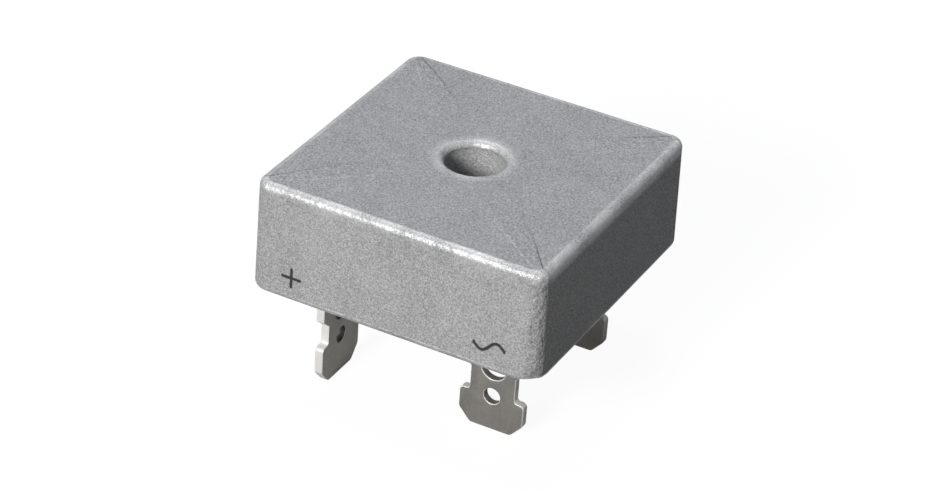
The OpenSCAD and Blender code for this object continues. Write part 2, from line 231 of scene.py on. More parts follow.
def startMaterial(name, **plain):
    material = bpy.data.materials.new(name)
    material.use_nodes = True
    tree = material.node_tree
    tree.nodes.clear()
    shader = tree.nodes.new("ShaderNodeBsdfPrincipled")
    tree.links.new(shader.outputs[0], tree.nodes.new("ShaderNodeOutputMaterial").inputs[0])
    for socket, value in plain.items():
        shader.inputs[socket.replace("_", " ")].default_value = value
    place = addNode(tree, "ShaderNodeTexCoord").outputs["Object"]
    return material, tree, shader.inputs, place


def useGroup(tree, group, **plugs):
    node = tree.nodes.new("ShaderNodeGroup")
    node.node_tree = group
    for name, value in plugs.items():
        plug(tree, node.inputs[name.replace("_", " ")], value)
    return node.outputs


def bumpFrom(tree, height, distance, strength=1.0, under=None):
    plugs = {"Height": height, "Distance": distance, "Strength": strength}
    if under is not None:
        plugs["Normal"] = under
    return addNode(tree, "ShaderNodeBump", plugs).outputs[0]


signs = {
    "stroke": 0.0003, "raggedEdge": 0.00007, "plusX": -0.00992, "plusZ": 0.0127, "plusReach": 0.00088,
    "waveX": 0.0096, "waveZ": 0.0128, "waveLength": 0.0029, "waveHeight": 0.0005, "frontY": -0.0125,
}
caseFinish = {
    "body": (0.43, 0.432, 0.438, 1), "dark": (0.285, 0.287, 0.295, 1), "pale": (0.60, 0.602, 0.606, 1),
    "worn": (0.68, 0.68, 0.675, 1), "ink": (0.028, 0.028, 0.026, 1), "pit": (0.10, 0.10, 0.10, 1),
    "grainSize": 0.00012, "grainDepth": 0.000014, "mottleSize": 0.0035, "mottleShare": 0.22, "mottleDepth": 0.00003,
    "pitSpacing": 0.0026, "pitSize": 0.00016, "pitShare": 0.22, "pitTint": 0.75, "pitDepth": 1.5,
    "lumpSize": 0.0006, "lumpDepth": 0.0002, "lumpMottle": 0.0012, "lumpShare": 0.4,
    "wornShare": 0.5, "inkCover": 0.94, "inkRoughness": 0.15, "roughness": 0.52, "grainGloss": -0.16,
    "shine": 0.05, "edgeShine": 0.35,
}


def caseMaterial():
    look = caseFinish
    material, tree, shader, place = startMaterial("blastedAluminium", Specular_IOR_Level=0.1)
    grain = useGroup(tree, grainGroup, Position=place, Grain_Size=look["grainSize"],
        Mottle_Size=look["mottleSize"], Mottle_Share=look["mottleShare"], Seed=2.0)
    pits = useGroup(tree, pitGroup, Position=place, Spacing=look["pitSpacing"], Pit_Size=look["pitSize"],
        Share=look["pitShare"])["Pit"]
    ink = useGroup(tree, markGroup, Position=place, Stroke=signs["stroke"], Ragged_Edge=signs["raggedEdge"],
        Plus_X=signs["plusX"], Plus_Z=signs["plusZ"], Plus_Reach=signs["plusReach"], Wave_X=signs["waveX"],
        Wave_Z=signs["waveZ"], Wave_Length=signs["waveLength"], Wave_Height=signs["waveHeight"],
        Front_Y=signs["frontY"])["Ink"]
    edge = addNode(tree, "ShaderNodeAttribute", attribute_name="edgeBand").outputs["Fac"]
    # paler colour on the rounded edges: partly rubbed wear, partly a painted highlight along them
    wearAndHighlight = calc(tree, "MULTIPLY", calc(tree, "MULTIPLY", edge, blendBetween(tree, grain["Mottle"], 0.35, 0.65)),
        look["wornShare"], clamp=True)
    tint = mixTint(tree, blendBetween(tree, grain["Shade"], 0.25, 0.5), look["dark"], look["body"])
    tint = mixTint(tree, blendBetween(tree, grain["Shade"], 0.5, 0.78), tint, look["pale"])
    tint = mixTint(tree, wearAndHighlight, tint, look["worn"])
    tint = mixTint(tree, calc(tree, "MULTIPLY", pits, look["pitTint"]), tint, look["pit"])
    tint = mixTint(tree, calc(tree, "MULTIPLY", ink, look["inkCover"]), tint, look["ink"])
    tree.links.new(tint, shader["Base Color"])
    shine = calc(tree, "ADD", calc(tree, "MULTIPLY", edge, look["edgeShine"]), look["shine"])
    tree.links.new(shine, shader["Metallic"])
    rough = calc(tree, "ADD", calc(tree, "MULTIPLY", grain["Shade"], look["grainGloss"]), look["roughness"])
    rough = calc(tree, "ADD", rough, calc(tree, "MULTIPLY", ink, look["inkRoughness"]), clamp=True)
    tree.links.new(rough, shader["Roughness"])
    height = calc(tree, "SUBTRACT", grain["Height"], calc(tree, "MULTIPLY", pits, look["pitDepth"]))
    corner = addNode(tree, "ShaderNodeAttribute", attribute_name="cornerBand").outputs["Fac"]
    lumps = useGroup(tree, grainGroup, Position=place, Grain_Size=look["lumpSize"],
        Mottle_Size=look["lumpMottle"], Mottle_Share=look["lumpShare"], Seed=21.0)["Shade"]
    lumps = calc(tree, "MULTIPLY", lumps, calc(tree, "MAXIMUM", corner, calc(tree, "MULTIPLY", edge, 0.4)))
    waves = bumpFrom(tree, grain["Mottle"], look["mottleDepth"], 0.6)
    waves = bumpFrom(tree, lumps, look["lumpDepth"], 0.8, waves)
    tree.links.new(bumpFrom(tree, height, look["grainDepth"], 0.8, waves), shader["Normal"])
    return material


bladeFinish = {
    "plate": (0.34, 0.328, 0.308, 1), "dull": (0.23, 0.221, 0.205, 1), "bright": (0.46, 0.45, 0.43, 1),
    # edge is a near-white colour for the rolled edges, a painted highlight
    "stain": (0.21, 0.185, 0.15, 1), "edge": (0.88, 0.87, 0.84, 1), "cut": (0.86, 0.85, 0.82, 1),
    "torn": (0.13, 0.12, 0.11, 1), "tornShare": 0.9, "scratchShare": 0.15, "stainShare": 0.5,
    "streakWidth": 0.00011, "streakLength": 0.0016, "streakShare": 0.2, "grainShare": 0.8, "grainSize": 0.00008,
    "mottleSize": 0.0021, "mottleShare": 0.5, "pitSpacing": 0.0011, "pitSize": 0.00007, "pitShare": 0.3,
    "pitTint": 0.6, "roughness": 0.29, "grainGloss": 0.16, "mottleGloss": 0.1, "metallic": 0.95, "mottleDull": 0.15,
    "cutDull": 0.7, "scratchDepth": 0.6, "depth": 0.000004,
}


def bladeMaterial():
    look = bladeFinish
    material, tree, shader, place = startMaterial("platedStrip", Specular_IOR_Level=0.3)
    streaks = useGroup(tree, rollGroup, Position=place, Streak_Width=look["streakWidth"],
        Streak_Length=look["streakLength"], Seed=5.0)
    grain = useGroup(tree, grainGroup, Position=place, Grain_Size=look["grainSize"],
        Mottle_Size=look["mottleSize"], Mottle_Share=look["mottleShare"], Seed=9.0)
    pits = useGroup(tree, pitGroup, Position=place, Spacing=look["pitSpacing"], Pit_Size=look["pitSize"],
        Share=look["pitShare"])["Pit"]
    cut = addNode(tree, "ShaderNodeAttribute", attribute_name="cutFace").outputs["Fac"]
    rolled = addNode(tree, "ShaderNodeAttribute", attribute_name="rolledEdge").outputs["Fac"]
    inHole = addNode(tree, "ShaderNodeAttribute", attribute_name="holeWall").outputs["Fac"]
    fine = calc(tree, "ADD", calc(tree, "MULTIPLY", streaks["Streak"], look["streakShare"]),
        calc(tree, "MULTIPLY", grain["Shade"], look["grainShare"]))
    stained = calc(tree, "MULTIPLY", blendBetween(tree, grain["Mottle"], 0.5, 0.8), look["stainShare"])
    cleanCut = calc(tree, "MULTIPLY", cut, blendBetween(tree, grain["Shade"], 0.1, 0.5, 0.75, 1.0))
    # the rolled edges are painted near white: a painted highlight along each edge of the strip and round the holes
    rolledEdgeHighlight = calc(tree, "MULTIPLY", rolled, blendBetween(tree, grain["Shade"], 0.1, 0.6, 0.7, 1.0))
    tint = mixTint(tree, blendBetween(tree, fine, 0.3, 0.62), look["dull"], look["plate"])
    tint = mixTint(tree, stained, tint, look["stain"])
    tint = mixTint(tree, calc(tree, "MULTIPLY", streaks["Scratch"], look["scratchShare"]), tint, look["bright"])
    tint = mixTint(tree, calc(tree, "MULTIPLY", pits, look["pitTint"]), tint, look["dull"])
    tint = mixTint(tree, cleanCut, tint, look["cut"])
    # the walls inside the holes are made much darker than the other cut faces
    tint = mixTint(tree, calc(tree, "MULTIPLY", inHole, look["tornShare"]), tint, look["torn"])
    tint = mixTint(tree, rolledEdgeHighlight, tint, look["edge"])
    tree.links.new(tint, shader["Base Color"])
    rough = calc(tree, "ADD", calc(tree, "MULTIPLY", fine, look["grainGloss"]), look["roughness"])
    rough = calc(tree, "ADD", rough, calc(tree, "MULTIPLY", grain["Mottle"], look["mottleGloss"]), clamp=True)
    tree.links.new(rough, shader["Roughness"])
    metallic = calc(tree, "SUBTRACT", look["metallic"], calc(tree, "MULTIPLY", grain["Mottle"], look["mottleDull"]))
    metallic = calc(tree, "SUBTRACT", metallic, calc(tree, "MULTIPLY", cut, look["cutDull"]))
    tree.links.new(metallic, shader["Metallic"])
    hollows = calc(tree, "ADD", calc(tree, "MULTIPLY", streaks["Scratch"], look["scratchDepth"]), pits)
    height = calc(tree, "SUBTRACT", fine, hollows)
    tree.links.new(bumpFrom(tree, height, look["depth"], 0.7), shader["Normal"])
    return material


pottingFinish = {
    "resin": (0.60, 0.585, 0.54, 1), "filler": (0.46, 0.445, 0.405, 1), "bloom": (0.70, 0.69, 0.655, 1),
    "grainSize": 0.00025, "mottleSize": 0.004, "mottleShare": 0.55, "bubbleSpacing": 0.0016, "bubbleSize": 0.00022,
    "bubbleShare": 0.35, "bubbleTint": 0.55, "roughness": 0.28, "mottleGloss": 0.3, "flowDepth": 0.00012,
    "grainDepth": 0.4, "depth": 0.00003,
}


def pottingMaterial():
    look = pottingFinish
    material, tree, shader, place = startMaterial("castResin", Specular_IOR_Level=0.45)
    grain = useGroup(tree, grainGroup, Position=place, Grain_Size=look["grainSize"],
        Mottle_Size=look["mottleSize"], Mottle_Share=look["mottleShare"], Seed=14.0)
    bubbles = useGroup(tree, pitGroup, Position=place, Spacing=look["bubbleSpacing"], Pit_Size=look["bubbleSize"],
        Share=look["bubbleShare"])["Pit"]
    tint = mixTint(tree, blendBetween(tree, grain["Shade"], 0.3, 0.6), look["filler"], look["resin"])
    tint = mixTint(tree, blendBetween(tree, grain["Mottle"], 0.5, 0.75), tint, look["bloom"])
    tint = mixTint(tree, calc(tree, "MULTIPLY", bubbles, look["bubbleTint"]), tint, look["filler"])
    tree.links.new(tint, shader["Base Color"])
    rough = calc(tree, "ADD", calc(tree, "MULTIPLY", grain["Mottle"], look["mottleGloss"]),
        look["roughness"], clamp=True)
    tree.links.new(rough, shader["Roughness"])
    flow = bumpFrom(tree, grain["Mottle"], look["flowDepth"], 0.7)
    height = calc(tree, "SUBTRACT", calc(tree, "MULTIPLY", grain["Height"], look["grainDepth"]), bubbles)
    tree.links.new(bumpFrom(tree, height, look["depth"], 0.8, flow), shader["Normal"])
    return material


innerFinishes = {
    "insulation": {"name": "insulatingFilm", "pale": (0.62, 0.42, 0.13, 1), "deep": (0.48, 0.30, 0.08, 1),
        "size": 0.0003, "roughness": 0.34, "metallic": 0.0, "seed": 3.0},
    "copper": {"name": "copperSheet", "pale": (0.72, 0.40, 0.26, 1), "deep": (0.44, 0.21, 0.13, 1),
        "size": 0.0002, "roughness": 0.38, "metallic": 0.9, "seed": 6.0},
    "silicon": {"name": "siliconWafer", "pale": (0.13, 0.135, 0.16, 1), "deep": (0.07, 0.072, 0.085, 1),
        "size": 0.00012, "roughness": 0.24, "metallic": 0.35, "seed": 8.0},
    "solder": {"name": "frostedSolder", "pale": (0.52, 0.52, 0.53, 1), "deep": (0.33, 0.33, 0.35, 1),
        "size": 0.00016, "roughness": 0.42, "metallic": 0.85, "seed": 12.0},
}


def innerMaterial(look):
    # even sheet, film, wafer or joint, with a fine grain and a slow change of gloss
    glossSpread, mottleGrains, depthShare = 0.22, 14, 0.06
    material, tree, shader, place = startMaterial(look["name"], Metallic=look["metallic"])
    grain = useGroup(tree, grainGroup, Position=place, Grain_Size=look["size"],
        Mottle_Size=look["size"] * mottleGrains, Mottle_Share=0.6, Seed=look["seed"])
    tint = mixTint(tree, blendBetween(tree, grain["Shade"], 0.3, 0.68), look["deep"], look["pale"])
    tree.links.new(tint, shader["Base Color"])
    rough = calc(tree, "ADD", calc(tree, "MULTIPLY", grain["Mottle"], glossSpread),
        look["roughness"] - glossSpread / 2, clamp=True)
    tree.links.new(rough, shader["Roughness"])
    tree.links.new(bumpFrom(tree, grain["Height"], look["size"] * depthShare, 0.7), shader["Normal"])
    return material


finishes = {"case": caseMaterial(), "terminal": bladeMaterial(), "potting": pottingMaterial()}
finishes.update({title: innerMaterial(look) for title, look in innerFinishes.items()})
print("stage: finishes built")


# inner and carried-over parts keep their shape and get their finish

def finishFor(name):
    if "solder" in name:
        return "solder"
    if name.startswith("chip"):
        return "silicon"
    if "plate" in name or "strap" in name:
        return "copper"
    if "terminal" in name:
        return "terminal"
    return {"insulating_sheet": "insulation"}.get(name, name)


for name, node in nodes.items():
    node.data.materials.clear()
    node.data.materials.append(finishes[finishFor(name)])
print("stage: carried-over parts finished")


# geometry helpers

def bakeTree(name, tree, numbers):
    # runs a tree on an empty mesh and keeps its result as a plain mesh at the origin
    host = bpy.data.objects.new(name + "Host", bpy.data.meshes.new(name + "Host"))
    bpy.context.collection.objects.link(host)
    modifier = host.modifiers.new("build", "NODES")
    modifier.node_group = tree
    for item in tree.interface.items_tree:
        if item.item_type == "SOCKET" and item.in_out == "INPUT" and item.name in numbers:
            modifier[item.identifier] = numbers[item.name]
    graph = bpy.context.evaluated_depsgraph_get()
    mesh = bpy.data.meshes.new_from_object(
        host.evaluated_get(graph), preserve_all_data_layers=True, depsgraph=graph)
    host.modifiers.remove(modifier)
    bpy.data.objects.remove(host)
    mesh.name = name
    piece = bpy.data.objects.new(name, mesh)
    bpy.context.collection.objects.link(piece)
    return piece


def signedVolume(mesh):
    work = bmesh.new()
    work.from_mesh(mesh)
    volume = work.calc_volume(signed=True)
    work.free()
    return volume


def faceOutwards(mesh):
    if signedVolume(mesh) < 0:
        mesh.flip_normals()


# the case: one closed skin, ring by ring round the bore axis

caseLow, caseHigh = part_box("case")
boreMount = next(m for m in frame["record"]["mounts"] if m["name"] == "mounting_bore")
caseShape = {
    "Half Width": 14.3 * mm, "Rim Height": caseLow.z, "Case Height": caseHigh.z - caseLow.z, "Lean": 0.22 * mm,
    "Corner Radius": 1.7 * mm, "Wall": 1.4 * mm, "Floor": 2.0 * mm, "Cavity Corner": 1.3 * mm,
    "Seat Edge": 0.7 * mm, "Rim Edge": 0.7 * mm, "Rim Chamfer": 0.25 * mm, "Cavity Edge": 0.4 * mm,
    "Bore Radius": boreMount["dims"]["r_mm"] * mm, "Mouth Radius": 0.65 * mm, "Boss Wall": 1.0 * mm,
    "Boss Lean": 0.1 * mm, "Boss Recess": 0.3 * mm, "Bore Chamfer": 0.3 * mm, "Station Step": 0.8 * mm,
    "Waviness": 0.035 * mm, "Wave Size": 5.0 * mm, "Hammering": 0.012 * mm, "Hammer Size": 1.3 * mm,
    "Nick Depth": 0.28 * mm, "Ring Points": 72, "Seed": 4.0,
}
# a dent in the rim at its +x, -y corner
nickShape = {"insideX": 0.7 * mm, "insideY": 0.5 * mm, "core": 0.2 * mm, "reach": 1.9 * mm}


def buildCaseTree(material):
    sockets = [(title, "NodeSocketInt" if title == "Ring Points" else "NodeSocketFloat", number)
        for title, number in caseShape.items()]
    made = [("Geometry", "NodeSocketGeometry")]
    tree, given, result = newTree("pressedCase", "GeometryNodeTree", sockets, made)

    def plus(*values):
        total = values[0]
        for value in values[1:]:
            total = calc(tree, "ADD", total, value)
        return total

    def minus(first, *values):
        for value in values:
            first = calc(tree, "SUBTRACT", first, value)
        return first

    half, rim, bore = given["Half Width"], given["Rim Height"], given["Bore Radius"]
    seat = plus(rim, given["Case Height"])
    floor = minus(seat, given["Floor"])
    cavity = minus(half, given["Wall"])
    corner = minus(half, given["Corner Radius"])
    cavityCorner = minus(cavity, given["Cavity Corner"])
    topHalf = minus(half, given["Lean"])
    floorHalf = minus(cavity, given["Lean"])
    bossEnd = plus(rim, given["Boss Recess"])
    boss = plus(bore, given["Boss Wall"])
    bossRoot = plus(boss, given["Boss Lean"])
    # half width, centre of the corner rounding, height, and rounding of the edge at that station
    stations = [
        (bore, 0.0, plus(bossEnd, given["Bore Chamfer"]), 0.08 * mm),
        (plus(bore, given["Bore Chamfer"]), 0.0, bossEnd, 0.08 * mm),
        (boss, 0.0, bossEnd, 0.12 * mm),
        (bossRoot, 0.0, floor, 0.05 * mm),
        (plus(bossRoot, 0.5 * mm), 0.0, floor, 0.0),
        (minus(floorHalf, 1.0 * mm), cavityCorner, floor, 0.0),
        (floorHalf, cavityCorner, floor, given["Cavity Edge"]),
        (cavity, cavityCorner, plus(rim, given["Rim Chamfer"]), 0.05 * mm),
        (plus(cavity, given["Rim Chamfer"]), cavityCorner, rim, 0.08 * mm),
        (minus(half, given["Rim Edge"], 0.08 * mm), corner, rim, 0.0),
        (half, corner, rim, given["Rim Edge"]),
        (topHalf, corner, seat, given["Seat Edge"]),
        (minus(topHalf, given["Seat Edge"], 0.15 * mm), corner, seat, 0.0),
        (plus(bore, given["Mouth Radius"], 0.8 * mm), 0.0, seat, 0.0),
        (bore, 0.0, seat, given["Mouth Radius"]),
    ]
    wideSteps, narrowSteps = 14, 3
    index = addNode(tree, "GeometryNodeInputIndex").outputs[0]
    spots = addNode(tree, "GeometryNodeIndexSwitch", {"Index": index}, data_type="VECTOR")
    rounds = addNode(tree, "GeometryNodeIndexSwitch", {"Index": index}, data_type="FLOAT")
    steps = addNode(tree, "GeometryNodeIndexSwitch", {"Index": index}, data_type="INT")
    for switch in (spots, rounds, steps):
        while len(switch.index_switch_items) < len(stations):
            switch.index_switch_items.new()
    for number, (width, centre, height, radius) in enumerate(stations):
        point = addNode(tree, "ShaderNodeCombineXYZ", {"X": width, "Y": centre, "Z": height}).outputs[0]
        tree.links.new(point, spots.inputs[number + 1])
        plug(tree, rounds.inputs[number + 1], radius)
        wide = isinstance(radius, bpy.types.NodeSocket)
        steps.inputs[number + 1].default_value = wideSteps if wide else narrowSteps
    line = addNode(tree, "GeometryNodeMeshLine", {"Count": len(stations)}).outputs[0]
    line = addNode(tree, "GeometryNodeSetPosition", {"Geometry": line, "Position": spots.outputs[0]}).outputs[0]
    line = addNode(tree, "GeometryNodeMeshToCurve", {"Mesh": line}).outputs[0]
    line = addNode(tree, "GeometryNodeSetSplineCyclic", {"Geometry": line, "Cyclic": True}).outputs[0]
    line = addNode(tree, "GeometryNodeFilletCurve",
        {"Curve": line, "Count": steps.outputs[0], "Radius": rounds.outputs[0]}, mode="POLY").outputs[0]

    def countOf(curve):
        size = addNode(tree, "GeometryNodeAttributeDomainSize", {"Geometry": curve}, component="CURVE")
        return size.outputs["Point Count"]

    here = addNode(tree, "GeometryNodeInputPosition").outputs[0]
    following = calc(tree, "MODULO", plus(index, 1.0), countOf(line))
    ahead = addNode(tree, "GeometryNodeFieldAtIndex", {"Index": following, "Value": here},
        data_type="FLOAT_VECTOR", domain="POINT").outputs[0]
    gap = vectorCalc(tree, "DISTANCE", here, ahead)
    line = addNode(tree, "GeometryNodeSubdivideCurve",
        {"Curve": line, "Cuts": calc(tree, "FLOOR", calc(tree, "DIVIDE", gap, given["Station Step"]))}).outputs[0]
    count = countOf(line)
    ringCount = calc(tree, "MULTIPLY", given["Ring Points"], 4.0)
    grid = addNode(tree, "GeometryNodeMeshGrid", {"Size X": 1.0, "Size Y": 1.0,
        "Vertices X": plus(ringCount, 1.0), "Vertices Y": plus(count, 1.0)}).outputs["Mesh"]
    at = addNode(tree, "ShaderNodeSeparateXYZ", {"Vector": here}).outputs
    ring = calc(tree, "ROUND", calc(tree, "MULTIPLY", plus(at["X"], 0.5), ringCount))
    station = calc(tree, "MODULO", calc(tree, "ROUND", calc(tree, "MULTIPLY", plus(at["Y"], 0.5), count)), count)
    sampled = addNode(tree, "GeometryNodeSampleIndex", {"Geometry": line, "Value": here, "Index": station},
        data_type="FLOAT_VECTOR", domain="POINT").outputs[0]
    spot = addNode(tree, "ShaderNodeSeparateXYZ", {"Vector": sampled}).outputs
    width, centre = spot["X"], spot["Y"]
    rounding = minus(width, centre)
    quarter = calc(tree, "FLOOR", calc(tree, "DIVIDE", plus(ring, 0.5), given["Ring Points"]))
    within = minus(ring, calc(tree, "MULTIPLY", quarter, given["Ring Points"]))
    along = minus(calc(tree, "MULTIPLY", calc(tree, "DIVIDE", within, given["Ring Points"]), 2.0), 1.0)
    side = calc(tree, "SIGN", along)
    reach = calc(tree, "ABSOLUTE", along)
    straight = calc(tree, "MINIMUM", calc(tree, "MULTIPLY", reach, 2.0), 1.0)
    bend = calc(tree, "MAXIMUM", minus(calc(tree, "MULTIPLY", reach, 2.0), 1.0), 0.0)
    square = blendBetween(tree, calc(tree, "DIVIDE", centre, cavityCorner), 0.0, 1.0)
    turn = plus(calc(tree, "MULTIPLY", reach, minus(1.0, square)), calc(tree, "MULTIPLY", bend, square))
    turn = calc(tree, "MULTIPLY", turn, math.pi / 4)
    outX = plus(centre, calc(tree, "MULTIPLY", rounding, calc(tree, "COSINE", turn)))
    outY = plus(calc(tree, "MULTIPLY", centre, straight), calc(tree, "MULTIPLY", rounding, calc(tree, "SINE", turn)))
    flat = addNode(tree, "ShaderNodeCombineXYZ",
        {"X": outX, "Y": calc(tree, "MULTIPLY", outY, side), "Z": spot["Z"]}).outputs[0]
    turned = addNode(tree, "ShaderNodeVectorRotate", {"Vector": flat,
        "Angle": calc(tree, "MULTIPLY", quarter, math.pi / 2)}, rotation_type="Z_AXIS").outputs[0]
    nextStation = calc(tree, "MODULO", plus(station, 1.0), count)
    nextSpot = addNode(tree, "GeometryNodeSampleIndex", {"Geometry": line, "Value": here, "Index": nextStation},
        data_type="FLOAT_VECTOR", domain="POINT").outputs[0]
    band = blendBetween(tree, vectorCalc(tree, "DISTANCE", sampled, nextSpot), 0.1 * mm, 0.3 * mm, 1.0, 0.0)
    cornerBand = calc(tree, "MULTIPLY",
        blendBetween(tree, bend, 0.0, 0.35), blendBetween(tree, centre, 0.0, corner))
    skin = grid
    for title, value in (("edgeBand", band), ("cornerBand", cornerBand)):
        skin = addNode(tree, "GeometryNodeStoreNamedAttribute",
            {"Geometry": skin, "Name": title, "Value": value}, data_type="FLOAT", domain="POINT").outputs[0]
    skin = addNode(tree, "GeometryNodeSetPosition", {"Geometry": skin, "Position": turned}).outputs[0]
    skin = addNode(tree, "GeometryNodeMergeByDistance", {"Geometry": skin, "Distance": 0.0005 * mm}).outputs[0]

    def swell(size, depth, seed):
        noise = addNode(tree, "ShaderNodeTexNoise", {"Vector": here, "W": seed,
            "Scale": calc(tree, "DIVIDE", 1.0, size), "Detail": 2.0}, noise_dimensions="4D").outputs["Fac"]
        return calc(tree, "MULTIPLY", minus(noise, 0.5), depth)

    rise = plus(swell(given["Wave Size"], given["Waviness"], given["Seed"]),
        swell(given["Hammer Size"], given["Hammering"], plus(given["Seed"], 7.0)))
    nickX = minus(half, nickShape["insideX"])
    nickY = calc(tree, "MULTIPLY", minus(half, nickShape["insideY"]), -1.0)
    nickSpot = addNode(tree, "ShaderNodeCombineXYZ", {"X": nickX, "Y": nickY, "Z": rim}).outputs[0]
    nick = blendBetween(tree, vectorCalc(tree, "DISTANCE", here, nickSpot),
        nickShape["core"], nickShape["reach"], 1.0, 0.0)
    rise = minus(rise, calc(tree, "MULTIPLY", nick, given["Nick Depth"]))
    normal = addNode(tree, "GeometryNodeInputNormal").outputs[0]
    push = vectorCalc(tree, "MULTIPLY", normal, addNode(tree, "ShaderNodeCombineXYZ",
        {"X": rise, "Y": rise, "Z": rise}).outputs[0])
    skin = addNode(tree, "GeometryNodeSetPosition", {"Geometry": skin, "Offset": push}).outputs[0]
    skin = addNode(tree, "GeometryNodeSetShadeSmooth", {"Geometry": skin, "Shade Smooth": True}).outputs[0]
    skin = addNode(tree, "GeometryNodeRealizeInstances", {"Geometry": skin}).outputs[0]
    skin = addNode(tree, "GeometryNodeSetMaterial", {"Geometry": skin, "Material": material}).outputs[0]
    tree.links.new(skin, result["Geometry"])
    return tree


casePiece = bakeTree("pressedCase", buildCaseTree(finishes["case"]), caseShape)
faceOutwards(casePiece.data)
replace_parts(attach(casePiece, "root"), "case")
print("stage: case built,", len(casePiece.data.polygons), "faces, volume mm3",
    round(signedVolume(casePiece.data) * 1e9, 1))


# the blades: the CAD strips with the rolled edges that stamping leaves

bladeEdges = {
    "rolledEdge": 0.13 * mm, "edgeSegments": 4, "sharpAngle": math.radians(32), "mergeGap": 0.001 * mm,
    "holeReach": 1.5 * mm, "tipZone": 1.5 * mm, "shaftTop": 11 * mm, "broadFace": 0.97, "squareFace": 0.1,
}


def shaftOf(name):
    # middle of a blade, and which way its broad faces look
    shaft = [v.co for v in nodes[name].data.vertices if v.co.z < bladeEdges["shaftTop"]]
    low, high = (Vector(map(pick, zip(*shaft))) for pick in (min, max))
    facing = Vector((0, 1, 0)) if high.x - low.x > high.y - low.y else Vector((1, 0, 0))
    return (low + high) / 2, facing


def dressBlade(name):
    mesh = nodes[name].data.copy()
    work = bmesh.new()
    work.from_mesh(mesh)
    bmesh.ops.remove_doubles(work, verts=work.verts, dist=bladeEdges["mergeGap"])
    bmesh.ops.dissolve_limit(work, angle_limit=math.radians(1), verts=work.verts, edges=work.edges)
    work.to_mesh(mesh)
    work.free()
    rough = bpy.data.objects.new(name + "Rough", mesh)
    bpy.context.collection.objects.link(rough)
    bevel = rough.modifiers.new("rolledEdge", "BEVEL")
    bevel.width, bevel.segments = bladeEdges["rolledEdge"], bladeEdges["edgeSegments"]
    bevel.limit_method, bevel.angle_limit = "ANGLE", bladeEdges["sharpAngle"]
    bevel.use_clamp_overlap = True
    graph = bpy.context.evaluated_depsgraph_get()
    made = bpy.data.meshes.new_from_object(rough.evaluated_get(graph), depsgraph=graph)
    rough.modifiers.clear()
    bpy.data.objects.remove(rough)
    made.shade_smooth()
    made.set_sharp_from_angle(angle=bladeEdges["sharpAngle"])
    middle, facing = shaftOf(name)
    across = facing.cross(Vector((0, 0, 1)))
    cutFace, rolledEdge, holeWall = (made.attributes.new(title, "FLOAT", "FACE")
        for title in ("cutFace", "rolledEdge", "holeWall"))
    broad, square = bladeEdges["broadFace"], bladeEdges["squareFace"]
    for face in made.polygons:
        turned = abs(face.normal.dot(facing))
        nearMiddle = abs((face.center - middle).dot(across)) < bladeEdges["holeReach"]
        inside = nearMiddle and face.center.z > bladeEdges["tipZone"]
        cutFace.data[face.index].value = 1.0 if turned < broad else 0.0
        rolledEdge.data[face.index].value = 1.0 if square < turned < broad else 0.0
        holeWall.data[face.index].value = 1.0 if turned < square and inside else 0.0
    made.materials.clear()
    made.materials.append(finishes["terminal"])
    words = name.split("_")
    piece = bpy.data.objects.new(words[0] + "".join(word.title() for word in words[1:]) + "Blade", made)
    bpy.context.collection.objects.link(piece)
    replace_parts(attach(piece, "root"), name)
    return piece


bladeNames = [name for name in sorted(nodes) if "terminal" in name]
blades = [dressBlade(name) for name in bladeNames]
print("stage: blades dressed,", len(blades))


# resin that climbs each blade where it leaves the potting

stripLow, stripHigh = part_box("ac_terminal_front")
collarShape = {
    "Strip Width": stripHigh.x - stripLow.x, "Strip Thickness": 0.8 * mm, "Corner": bladeEdges["rolledEdge"],
    "Climb": 0.45 * mm, "Sunk": 0.08 * mm, "Resin Height": caseLow.z + 0.9 * mm, "Unevenness": 0.2 * mm,
    "Uneven Size": 1.5 * mm, "Seed": 21.0,
}


